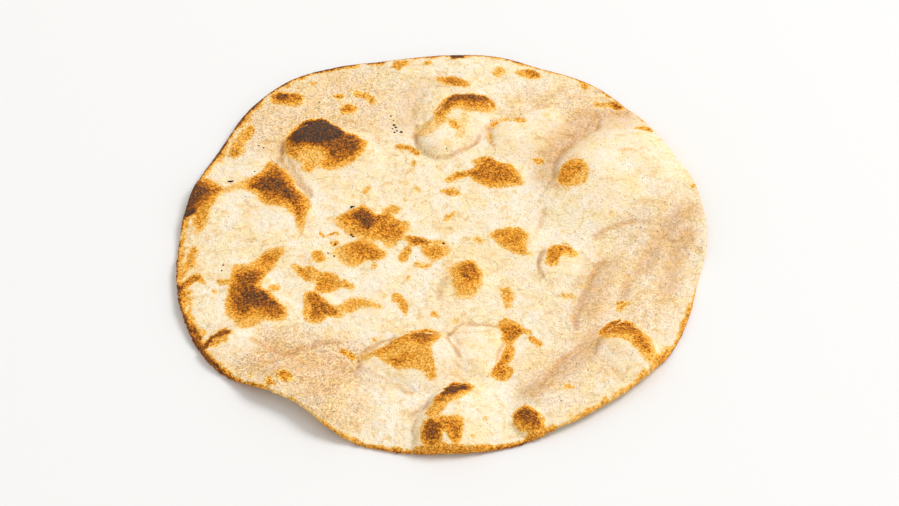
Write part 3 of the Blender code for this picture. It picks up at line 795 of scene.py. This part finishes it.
rimBake = {  # direction: golden band width in mm, its tone, dark edge width in mm, its tone
    0: (1.2, 0.06, 0.3, 0.1), 20: (1.2, 0.1, 0.4, 0.2), 35: (1.8, 0.25, 0.8, 0.45),
    50: (2.2, 0.32, 1.2, 0.66), 70: (3.2, 0.38, 1.4, 0.74), 100: (4.0, 0.42, 1.9, 0.8),
    130: (4.8, 0.44, 2.1, 0.88), 150: (5.4, 0.46, 1.9, 0.9), 170: (7.0, 0.5, 1.2, 0.8),
    190: (7.0, 0.5, 1.2, 0.8), 205: (5.5, 0.44, 1.4, 0.84), 218: (4.5, 0.44, 1.6, 0.84),
    224: (2.6, 0.4, 0.8, 0.66), 232: (1.4, 0.32, 0.4, 0.45), 245: (2.0, 0.4, 0.5, 0.5),
    257: (2.1, 0.5, 0.8, 0.7), 270: (2.2, 0.54, 1.0, 0.88), 285: (2.3, 0.52, 0.9, 0.84),
    300: (2.4, 0.44, 0.8, 0.66), 312: (2.8, 0.46, 1.0, 0.8), 325: (3.6, 0.48, 1.3, 0.84),
    337: (2.6, 0.42, 0.9, 0.7), 347: (1.5, 0.18, 0.4, 0.25), 360: (1.2, 0.08, 0.3, 0.12),
}

tanAndShadeAreas = {  # a warmer tan: partly the dough's own tone, partly painted shade on valleys and banks that face away from the light: strength, reach in mm, line
    "rightPlain": (0.38, 36, [(104, 2), (92, -30), (78, -52)]),
    "rightEdge": (0.3, 36, [(114, 26), (108, -20)]),
    "farRight": (0.5, 42, [(66, 84), (86, 78)]),
    "farPlain": (0.04, 40, [(-30, 118), (40, 112)]),
    "farLeft": (0.55, 40, [(-80, 86), (-50, 98)]),
    "nearLeftBand": (0.75, 24, [(-88, -70), (-64, -78), (-50, -80)]),
    "nearLeftSpot": (1.0, 9, [(-57, -92), (-52, -92)]),
    "nearLeftMound": (0.6, 16, [(-60, -101), (-44, -105)]),
    "nearRightBank": (0.4, 22, [(78, -70), (50, -88)]),
    "left": (0.07, 40, [(-108, 30), (-112, -30)]),
    "rightBlisterFront": (0.6, 9, [(78, -62), (84, -70), (90, -76)]),
}

creaseShades = {  # painted shade, warm and darker, in creases and valleys and on flanks that face away from the light: strength, reach in mm, line
    "bigSwellFlank": (0.55, 2.6, creases["bigSwellFoot"][0][:-1]),
    "bigSwellValley": (0.42, 9, [(52, 44), (54, 58), (62, 70)]),
    "farRightValley": (0.34, 12, [(57, 64), (64, 76), (76, 83), (90, 86)]),
    "charredBlisterLeft": (0.6, 1.6, creases["charredBlisterLeft"][0]),
    "charredBlisterFold": (0.5, 1.3, creases["charredBlisterFold"][0]),
    "farBlisterFoot": (0.6, 1.5, creases["farBlisterFoot"][0]),
    "farBlisterHalo": (0.22, 6, [(-3, 112), (-9, 111), (-14, 104), (-16.5, 93), (-17.5, 82)]),
    "farRightBlisterFoot": (0.6, 1.5, [(26, 83), (23.5, 79.5), (23, 74.5), (23.5, 69), (25.5, 66)]),
    "rightLine": (0.46, 2.6, [(77, -13), (72, -21.5), (68.5, -32), (66, -41), (63.5, -49), (62.5, -55)]),
    "rightLineSide": (0.3, 8, [(79, -17), (73, -30), (70, -44)]),
    "outerRightLine": (0.34, 2.6, [(95, -18), (90, -24), (87, -30), (85, -36)]),
    "rightEdgeValley": (0.36, 7, [(120, 21), (114, 16), (108, 8), (103, -2), (97, -16)]),
    "outerRightEdge": (0.32, 7, [(117, 6), (111, -12), (107, -31)]),
    "nearRightFold": (0.5, 1.8, creases["nearRightFold"][0]),
    "nearRightValley": (0.34, 6.5, [(74, -60), (64, -72), (53, -84), (40, -95)]),
    "rightBlisterHollow": (0.12, 5, [(78, -60), (80, -66), (85, -70)]),
    "nearLeftBand": (0.1, 12, [(-88, -68), (-66, -76), (-50, -78)]),
    "nearLeftLine": (0.4, 2, [(-90, -62), (-80, -68), (-71, -71.5), (-66, -69), (-57, -64.5), (-48, -64)]),
    "smallRightRing": (0.2, 3, [(67, -9), (68, -18), (63, -27)]),
    "smallRightLeft": (0.6, 1.4, [(50.5, -5), (47.5, -10), (46.5, -16.5), (48, -23)]),
    "nearBlisterGap": (0.7, 1.0, creases["betweenNearBlisters"][0]),
    "nearMiddleTop": (0.55, 1.1, [
        (1.5, -61), (5.5, -56.5), (9.5, -54), (15.5, -53.5), (21.5, -53.5), (27.5, -56), (29, -61),
        (27.5, -69), (25.5, -77), (21, -84.5)]),
    "nearEdgeBlisterLeft": (0.5, 1.6, [(0, -97), (-6, -102.5), (-14, -109)]),
    "nearLeftBlisterFar": (0.6, 1.4, [(-39, -76), (-34, -68.5), (-26, -63.5), (-18, -60.5)]),
    "nearLeftBlisterFoot": (0.35, 2, [(-38, -79), (-32, -83), (-25, -88), (-14, -95)]),
    "middleRightLine": (0.4, 1.8, [(50, 21.5), (48.5, 15), (47.5, 10)]),
    "smallMiddleLeft": (0.35, 2, [(2, -23), (-1, -30), (-1, -37)]),
    "bigSwellFront": (0.4, 2, [(74, 4), (79, 8), (85, 11.5), (92.5, 13.5), (101, 14)]),
    "farRightFold": (0.12, 4, [(74, 92), (70, 86), (65, 80)]),
    "middleFarPlain": (0.12, 9, [(38, 62), (48, 66)]),
}

burntCrumbs = (  # grains of burnt flour, seen from the front: place and radius in mm
    (-26, 87, 0.5), (-24.5, 84, 0.4), (-24.3, 80.5, 0.7), (-23.4, 79, 0.6), (-25, 78, 0.4),
    (-22.7, 76.5, 0.5), (-24, 75.4, 0.5), (-20.6, 75.6, 0.7), (-44, 23.6, 0.9), (-43, 24, 0.5),
    (-105, 41, 0.6), (-104, 41, 0.7), (-103, 41.3, 0.5), (-91.5, 66, 0.4), (-89, 64.5, 0.4), (-92.5, 48, 0.4),
    (-105, -15, 0.5), (-105.5, -18.5, 0.4), (-44, 5, 0.6), (-43.2, 4, 0.5), (-51.5, -1.5, 0.5),
    (0.5, -0.7, 0.6), (-62, 97, 0.4), (-68, 86, 0.3), (-55, -7, 0.4), (-52, -9, 0.5), (24, 84, 0.3),
    (-33, 118, 0.3), (-90, -22, 0.3), (2, 64, 0.3),
)

sight = {  # how the bread is seen from the front
    "viewer": (0.003, -1.031, 1.102),  # m, where the studio's camera stands
    "slope": 0.93,                     # mm that a place shows further back for each mm of height
    "level": 3.41,                     # mm, the height at which a place shows where it is
    "aside": 0.2,                      # mm that it shows further to the right
    "start": (18.6, 23.4),             # mm to the front and above the table, clear of the bread
}

painting = {
    "brush": (1.25, 0.25),      # shares of its reach where a stroke has faded out and where it is full
    "tanEverywhere": 0.03,
    "topFrom": 1.3,             # mm above the table from which the top's marks are painted
    "topFacing": -0.2,          # the least slant at which they are
    "undersideTone": 0.62,
    "undersideSize": 17.0,      # mm
    "crestFade": (-0.15, 0.3),  # shares of a blister's height over which a mark ends on its far side
    "awayFacing": 0.25,         # the slant away from the viewer that counts as a far side
}


def stroke(seen, reach, line):  # the points that a brush stroke reaches, and how much it covers each
    gone, full = painting["brush"]
    line = np.array(line, float)
    near = within(seen, line, reach * gone)
    return near, ramp(distanceToLine(seen[near], line)[0] / reach, gone, full)


def darken(total, tone, cover):  # lays a darker tone over what is there
    return np.where(tone > total, total + (tone - total) * cover, total)


def markField(seen, raised, away):
    total = np.zeros(len(seen))
    for name, patches in scorchPatches.items():
        for tone, softness, corners in patches:
            outline = curveThrough(corners, closed=True)
            near = within(seen, outline, softness)
            cover = ramp(depthInside(seen[near], outline) / softness, -0.5, 0.5)
            if name in stopsAtCrest:  # the darker a tone, the higher up it ends on the far side
                share = raised[near] / raised[near].max()
                cover *= 1 - away[near] * (1 - ramp(share - 0.5 * tone, *painting["crestFade"]))
            total[near] = darken(total[near], tone, cover)
    ragged = wobble(seen, 3.2, 0.9, 57)
    for strokes in scorchSpots.values():
        for tone, reach, line in strokes:
            near, cover = stroke(ragged, reach, line)
            total[near] = darken(total[near], tone, cover)
    return total


def rimField(places):
    plan = places[:, :2]
    directions = compass(plan)
    band, bandTone, edge, edgeTone = (
        np.interp(directions, list(rimBake), values) for values in zip(*rimBake.values()))
    uneven = noiseField(plan, 8, 41) + 0.7 * noiseField(plan, 2.5, 42)
    inside = edgeDistance(plan)
    golden = ramp(inside / (band * (1 + 0.8 * uneven)).clip(0.6), *painting["brush"]) * bandTone
    dark = ramp(inside / (edge * (1 + 0.9 * uneven)).clip(0.2), 1.5, 0.5) * edgeTone
    # the near edge is darkest where it meets the table
    nearSide = ramp(directions, 345, 330) * ramp(directions, 225, 245)
    height = places[:, 2] + 0.4 * uneven
    dark *= 1 - nearSide * np.interp(height, (1.4, 2.8), (0, 0.8))
    return np.maximum(golden * (0.9 + 0.3 * uneven), dark)


# painted shade: how much the creases, valleys and flanks facing away from the light are darkened
def creaseShadeField(plan):
    plan = wobble(plan, 6, 1.5, 55)
    total = np.zeros(len(plan))
    for strength, reach, line in creaseShades.values():
        near, cover = stroke(plan, reach, curveThrough(line))
        total[near] = larger(total[near], strength * cover, 0.1)
    return total


# the warmer tan, partly the dough's own tone and partly painted shade on valleys and banks facing away from
# the light
def tanAndShadeField(plan):
    total = np.full(len(plan), painting["tanEverywhere"])
    for strength, reach, line in tanAndShadeAreas.values():
        near, cover = stroke(plan, reach, line)
        total[near] = np.maximum(total[near], strength * cover)
    return total


def addCrumbs(disc):  # each crumb is a small flattened ball half sunk in the crust
    grains = []
    nearer, high = sight["start"]
    for x, y, radius in burntCrumbs:
        start = Vector((x - sight["aside"], y - nearer, high)) * mm
        place = disc.ray_cast(start, Vector((0, sight["slope"], -1)).normalized())[1]
        bpy.ops.object.select_all(action="DESELECT")
        bpy.ops.mesh.primitive_ico_sphere_add(
            subdivisions=2, radius=radius * mm, location=place, scale=(1.2, 1, 0.5))
        grains.append(bpy.context.active_object)
    only(disc)
    for grain in grains:
        grain.select_set(True)
    bpy.ops.object.join()


def awayFromViewer(disc, places, normals):  # 1 where a place faces away or another part hides it
    viewer = Vector(sight["viewer"])
    starts = [(Vector(p) + 0.4 * Vector(n)) * mm for p, n in zip(places, normals)]
    hidden = [disc.ray_cast(start, (viewer - start).normalized())[0] for start in starts]
    return np.maximum(ramp(normals[:, 1], 0, painting["awayFacing"]), hidden)


def paintAttributes(disc, raised):
    # marks are painted where they show from the front, so they sit right on tall blisters
    places = placesOf(disc)
    isCrumb = np.arange(len(places)) >= len(raised)  # the crumbs were joined on last
    raised = np.append(raised, np.zeros(isCrumb.sum()))
    disc.data.update()
    normals = normalsOf(disc)
    onTop = (places[:, 2] > painting["topFrom"]) & (normals[:, 2] > painting["topFacing"])
    ground = places[:, :2]
    further = sight["slope"] * (places[:, 2] - sight["level"])
    seen = ground + np.column_stack([np.full(len(places), sight["aside"]), further])
    uneven = wobble(wobble(ground, 5, 1.2, 51), 1.9, 0.6, 53) - ground
    marks = markField(seen + uneven, raised, awayFromViewer(disc, places, normals))
    rim = rimField(places)
    below = painting["undersideTone"] * ramp(
        1.8 * noiseField(ground, painting["undersideSize"], 61, 3), 0.1, 1.1)
    taut = tautness(raised)
    fields = {
        "toast": np.where(onTop, np.maximum(marks, rim), np.maximum(below, rim * 0.9)),
        # painted shade in creases, valleys and on flanks facing away from the light
        "creaseShade": np.where(onTop, creaseShadeField(seen), 0),
        "crumbs": isCrumb,
        # a warmer tan, partly the dough's own tone and partly painted shade; paler where a blister stretched
        # the skin
        "tan": np.maximum(tanAndShadeField(seen) - taut * 0.6, taut * 0.1),
        "taut": taut,
    }
    for name, values in fields.items():
        layer = disc.data.attributes.new(name, "FLOAT", "POINT")
        layer.data.foreach_set("value", values.astype(np.float32))


disc = makeDisc()
print("disc made")
shapeDough(disc)
print("dough folded")
raised = raiseBlisters(disc)
roughenEdge(disc)
fitInBox(disc, cadBox)
addCrumbs(disc)
disc.data.shade_smooth()
print("blisters raised", len(disc.data.vertices), "vertices")
paintAttributes(disc, raised)
print("scorch marks painted")


# Tandoor-baked wholemeal crust: dull floury dough with bran specks, golden to black where it
# touched the fire, which gives the eye a dry matt surface with sharp speckle and soft burns

crust = {
    # the tan tint is partly the dough's own tone and partly painted shade; the crease tint and the tint along
    # the wrinkles are painted shade
    "flour": "FFF2DC", "dough": "FFEBCC", "tanAndShadeTint": "EDC392", "yellowed": "FFFAE2", "blot": "F5CB85",
    "creaseShade": "CF9A48", "wrinkleShade": "D2A874", "bran": "A98962", "darkBran": "6F5640", "crumb": "2A211C",
    "toastRamp": {
        0.06: "FDE5B8", 0.18: "FAD28A", 0.30: "F5BC5C", 0.42: "EDA63E", 0.52: "DF9127", 0.62: "C67A20",
        0.71: "A8621C", 0.80: "884E1E", 0.90: "684021", 1.0: "4E3E36"},
    "roughness": 0.8,
    "specular": 0.12,
    "patterns": {  # size in mm, and how much finer detail it holds
        "grain": (0.7, 2), "fine": (1.6, 3), "blots": (5.0, 4), "drift": (9.0, 2), "mottle": (13.0, 5)},
    "ranges": {  # what each follows, the values between which it changes, and its strength at both
        "floury": ("mottle", 0.4, 0.6, 0.0, 1.0), "uneven": ("fine", 0.35, 0.65, 0.6, 1.4),
        "yellowed": ("drift", 0.4, 0.62, 0.0, 1.0), "blotted": ("blots", 0.55, 0.7, 0.0, 0.8),
        "broken": ("drift", 0.42, 0.62, 0.0, 0.38), "speckle": ("grain", 0.35, 0.65, 0.9, 1.08),
        "slack": ("taut", 0.0, 1.0, 1.0, 0.35)},
    "flakes": {  # spacing in mm, how far a flake fills its cell, how strong the boldest are
        "bran": (1.15, 0.34, 0.75), "darkBran": (2.6, 0.16, 0.9)},
    "ragged": (1.1, 0.8),        # how much the grain and the fine pattern break up a mark
    "branny": (1.4, 0.78),       # how much bran shows on tan dough, and everywhere
    "gritSize": 0.66,            # mm; real grit is finer, and is drawn this coarse so that it shows
    "gritInMarks": 0.45,
    "coarse": (0.95, 1.55, 0.12),  # how strong the coarse grain is on tan dough, in marks and everywhere
    "coarseDark": 0.8,
    "foldSize": 7.0,             # mm, like all that follow
    "wrinkleSize": 3.0,
    "wrinkleDepth": 1.35,
    "grainDepth": 0.15,
}


def crustMaterial():
    material = bpy.data.materials.new("tandoorBakedWholemealCrust")
    material.use_nodes = True
    tree = material.node_tree
    shader = tree.nodes["Principled BSDF"]
    place = addNode(tree, "ShaderNodeTexCoord").outputs["Object"]
    toast, creaseShade, crumbs, tan, taut = (
        addNode(tree, "ShaderNodeAttribute", {"attribute_name": name}).outputs["Fac"]
        for name in ("toast", "creaseShade", "crumbs", "tan", "taut"))
    patterns = {"taut": taut}
    for name, (size, detail) in crust["patterns"].items():
        patterns[name] = addNode(tree, "ShaderNodeTexNoise", None, {
            "Vector": place, "Scale": 1 / mm / size, "Detail": detail, "Roughness": 0.6})
    floury, uneven, yellowed, blotted, broken, speckle, slack = (
        addNode(tree, "ShaderNodeMapRange", None, {
            "Value": patterns[name], "From Min": low, "From Max": high, "To Min": start, "To Max": end})
        for name, low, high, start, end in crust["ranges"].values())

    # how far the crust is baked, broken up into grains and grit
    ragged = -sum(crust["ragged"]) / 2
    for name, amount in zip(("grain", "fine"), crust["ragged"]):
        ragged = addNode(tree, "ShaderNodeMath", {"operation": "MULTIPLY_ADD"}, {
            0: patterns[name], 1: amount, 2: ragged})
    inMark = addNode(tree, "ShaderNodeMapRange", {"interpolation_type": "SMOOTHSTEP"}, {
        "Value": toast, "From Min": 0.0, "From Max": 0.6, "To Min": 0.0, "To Max": 0.5})
    baked = addNode(tree, "ShaderNodeMath", {"operation": "MULTIPLY_ADD"}, {0: ragged, 1: inMark, 2: toast})
    cells = addNode(tree, "ShaderNodeTexVoronoi", None, {
        "Vector": place, "Scale": 1 / mm / crust["gritSize"]})
    grit = addNode(tree, "ShaderNodeSeparateColor", None, {0: cells.outputs["Color"]})
    grit = addNode(tree, "ShaderNodeMath", {"operation": "SUBTRACT"}, {0: grit, 1: 0.5})
    gritty = addNode(tree, "ShaderNodeMath", {"operation": "MULTIPLY"}, {0: grit, 1: inMark})
    baked = addNode(tree, "ShaderNodeMath", {"operation": "MULTIPLY_ADD"}, {
        0: gritty, 1: crust["gritInMarks"], 2: baked})
    toasted = addNode(tree, "ShaderNodeValToRGB", None, {"Fac": baked})
    stops = list(crust["toastRamp"].items())
    for position, colour in stops[2:]:
        toasted.color_ramp.elements.new(position)
    for element, (position, colour) in zip(toasted.color_ramp.elements, stops):
        element.position = position
        element.color = toLinear(colour)
    covered = addNode(tree, "ShaderNodeMapRange", {"interpolation_type": "SMOOTHSTEP"}, {
        "Value": baked, "From Min": 0.0, "From Max": 0.36, "To Min": 0.0, "To Max": 1.0})

    # uneven tan areas, partly the dough's own tone and partly painted shade, and painted shade along fine
    # slanted wrinkles that break off
    tanAndShadeShare = addNode(tree, "ShaderNodeMath", {"operation": "MULTIPLY", "use_clamp": True}, {0: tan, 1: uneven})
    slanted = addNode(tree, "ShaderNodeMapping", None, {
        "Vector": place, "Rotation": (0, 0, math.radians(-relief["slant"])),
        "Scale": (relief["stretch"], 1, 1)})
    waves = addNode(tree, "ShaderNodeTexNoise", None, {
        "Vector": slanted, "Scale": 1 / mm / crust["foldSize"], "Detail": 3, "Roughness": 0.5,
        "Distortion": 0.5})
    fromLine = addNode(tree, "ShaderNodeMath", {"operation": "SUBTRACT"}, {0: waves, 1: 0.5})
    fromLine = addNode(tree, "ShaderNodeMath", {"operation": "ABSOLUTE"}, {0: fromLine})
    line = addNode(tree, "ShaderNodeMapRange", {"interpolation_type": "SMOOTHSTEP"}, {
        "Value": fromLine, "From Min": 0.0, "From Max": 0.04, "To Min": 1.0, "To Max": 0.0})
    line = addNode(tree, "ShaderNodeMath", {"operation": "MULTIPLY"}, {0: line, 1: broken})
    # painted shade darkens the creases, valleys and the lines along the wrinkles, over the dough's own tones
    layers = [
        (floury, "dough", "MIX"), (tanAndShadeShare, "tanAndShadeTint", "MIX"), (yellowed, "yellowed", "MULTIPLY"),
        (blotted, "blot", "MIX"), (creaseShade, "creaseShade", "MULTIPLY"), (line, "wrinkleShade", "MULTIPLY")]

    # bran flakes, more of them where the dough is bare and tan
    onTan, everywhere = crust["branny"]
    branny = addNode(tree, "ShaderNodeMath", {"operation": "MULTIPLY_ADD"}, {0: tan, 1: onTan, 2: everywhere})
    for name, (size, reach, share) in crust["flakes"].items():
        cells = addNode(tree, "ShaderNodeTexVoronoi", None, {"Vector": place, "Scale": 1 / mm / size})
        chosen = addNode(tree, "ShaderNodeSeparateColor", None, {0: cells.outputs["Color"]})
        flake, strength = (
            addNode(tree, "ShaderNodeMapRange", None, {
                "Value": value, "From Min": low, "From Max": high, "To Min": start, "To Max": end})
            for value, low, high, start, end in (
                (cells.outputs["Distance"], reach * 0.5, reach, 1.0, 0.0), (chosen, 0.4, 1.0, 0.0, share)))
        amount = addNode(tree, "ShaderNodeMath", {"operation": "MULTIPLY"}, {0: flake, 1: strength})
        amount = addNode(tree, "ShaderNodeMath", {"operation": "MULTIPLY", "use_clamp": True}, {
            0: amount, 1: branny})
        layers.append((amount, name, "MIX"))
    colour = toLinear(crust["flour"])
    for share, tint, blend in layers:
        colour = addNode(tree, "ShaderNodeMix", {"data_type": "RGBA", "blend_type": blend}, {
            0: share, 6: colour, 7: toLinear(crust[tint])})
    colour = addNode(tree, "ShaderNodeMix", {"data_type": "RGBA"}, {0: covered, 6: colour, 7: toasted})

    # light and dark grain over everything, coarser where the crust is baked or tan
    onTan, inMarks, coarse = crust["coarse"]
    for field, amount in ((tan, onTan), (inMark, inMarks)):
        coarse = addNode(tree, "ShaderNodeMath", {"operation": "MULTIPLY_ADD"}, {
            0: field, 1: amount, 2: coarse})
    coarse = addNode(tree, "ShaderNodeMath", {"operation": "MULTIPLY"}, {0: coarse, 1: grit})
    coarse = addNode(tree, "ShaderNodeMath", {"operation": "MULTIPLY_ADD"}, {
        0: coarse, 1: -crust["coarseDark"], 2: 1.0})
    for shade in (speckle, coarse):
        colour = addNode(tree, "ShaderNodeMix", {"data_type": "RGBA", "blend_type": "MULTIPLY"}, {
            0: 1.0, 6: colour, 7: shade})
    colour = addNode(tree, "ShaderNodeMix", {"data_type": "RGBA"}, {
        0: crumbs, 6: colour, 7: toLinear(crust["crumb"])})
    tree.links.new(outputOf(colour), shader.inputs["Base Color"])
    shader.inputs["Roughness"].default_value = crust["roughness"]
    shader.inputs["Specular IOR Level"].default_value = crust["specular"]

    # fine wrinkles, less of them on taut blisters, and the grain
    wrinkles = addNode(tree, "ShaderNodeTexNoise", None, {
        "Vector": place, "Scale": 1 / mm / crust["wrinkleSize"], "Detail": 4, "Roughness": 0.55,
        "Distortion": 0.6})
    rough = addNode(tree, "ShaderNodeBump", None, {
        "Height": wrinkles, "Distance": crust["wrinkleDepth"] * mm, "Strength": slack})
    rough = addNode(tree, "ShaderNodeBump", None, {
        "Height": patterns["grain"], "Distance": crust["grainDepth"] * mm, "Strength": 1.0, "Normal": rough})
    tree.links.new(outputOf(rough), shader.inputs["Normal"])
    return material


disc.data.materials.clear()
disc.data.materials.append(crustMaterial())
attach(disc, "root")
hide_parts("roti")
print("crust finished")


# Floor, light and camera

studio = {
    "floorSize": 6.0,           # m
    "floorColour": "F1F1F1",
    "floorRoughness": 0.9,
    "worldColour": (1.0, 0.985, 0.955, 1.0),
    "worldStrength": 0.71,
    "keyPlace": (3.0, 1.2, 4.0),  # m
    "keySize": 2.6,             # m
    "keyPower": 139.0,          # W
    "elevation": 47.0,          # degrees
    "cameraDistance": 1.5,      # m
    "nearestShown": 0.05,       # m
    "aim": (0.0033, -0.00848, 0.005),  # m
    "focalPixels": 3117.0,      # the photo's focal length in its own pixels
    "imageWidth": 899,          # pixels
    "sensorWidth": 36.0,        # mm
}


def makeStudio():
    bpy.ops.mesh.primitive_plane_add(size=studio["floorSize"], location=(0, 0, 0))
    floor = bpy.context.active_object
    floor.name = "floor"
    paint = bpy.data.materials.new("matWhitePaint")
    paint.use_nodes = True
    surface = paint.node_tree.nodes["Principled BSDF"]
    surface.inputs["Base Color"].default_value = toLinear(studio["floorColour"])
    surface.inputs["Roughness"].default_value = studio["floorRoughness"]
    floor.data.materials.append(paint)
    bpy.ops.object.light_add(type="AREA", location=studio["keyPlace"])
    key = bpy.context.active_object
    key.data.shape = "DISK"
    key.data.size = studio["keySize"]
    key.data.energy = studio["keyPower"]
    key.rotation_euler = Vector(studio["keyPlace"]).to_track_quat("Z", "Y").to_euler()
    world = bpy.data.worlds.new("studioWorld")
    bpy.context.scene.world = world
    world.use_nodes = True
    background = world.node_tree.nodes["Background"]
    background.inputs["Color"].default_value = studio["worldColour"]
    background.inputs["Strength"].default_value = studio["worldStrength"]
    elevation = math.radians(studio["elevation"])
    back = Vector((0, -math.cos(elevation), math.sin(elevation)))
    bpy.ops.object.camera_add(location=Vector(studio["aim"]) + back * studio["cameraDistance"])
    camera = bpy.context.active_object
    camera.rotation_euler = back.to_track_quat("Z", "Y").to_euler()
    camera.data.sensor_width = studio["sensorWidth"]
    camera.data.lens = studio["focalPixels"] / studio["imageWidth"] * studio["sensorWidth"]
    camera.data.clip_start = studio["nearestShown"]
    bpy.context.scene.camera = camera
    bpy.context.scene.view_settings.view_transform = "Standard"


makeStudio()
print("studio ready")
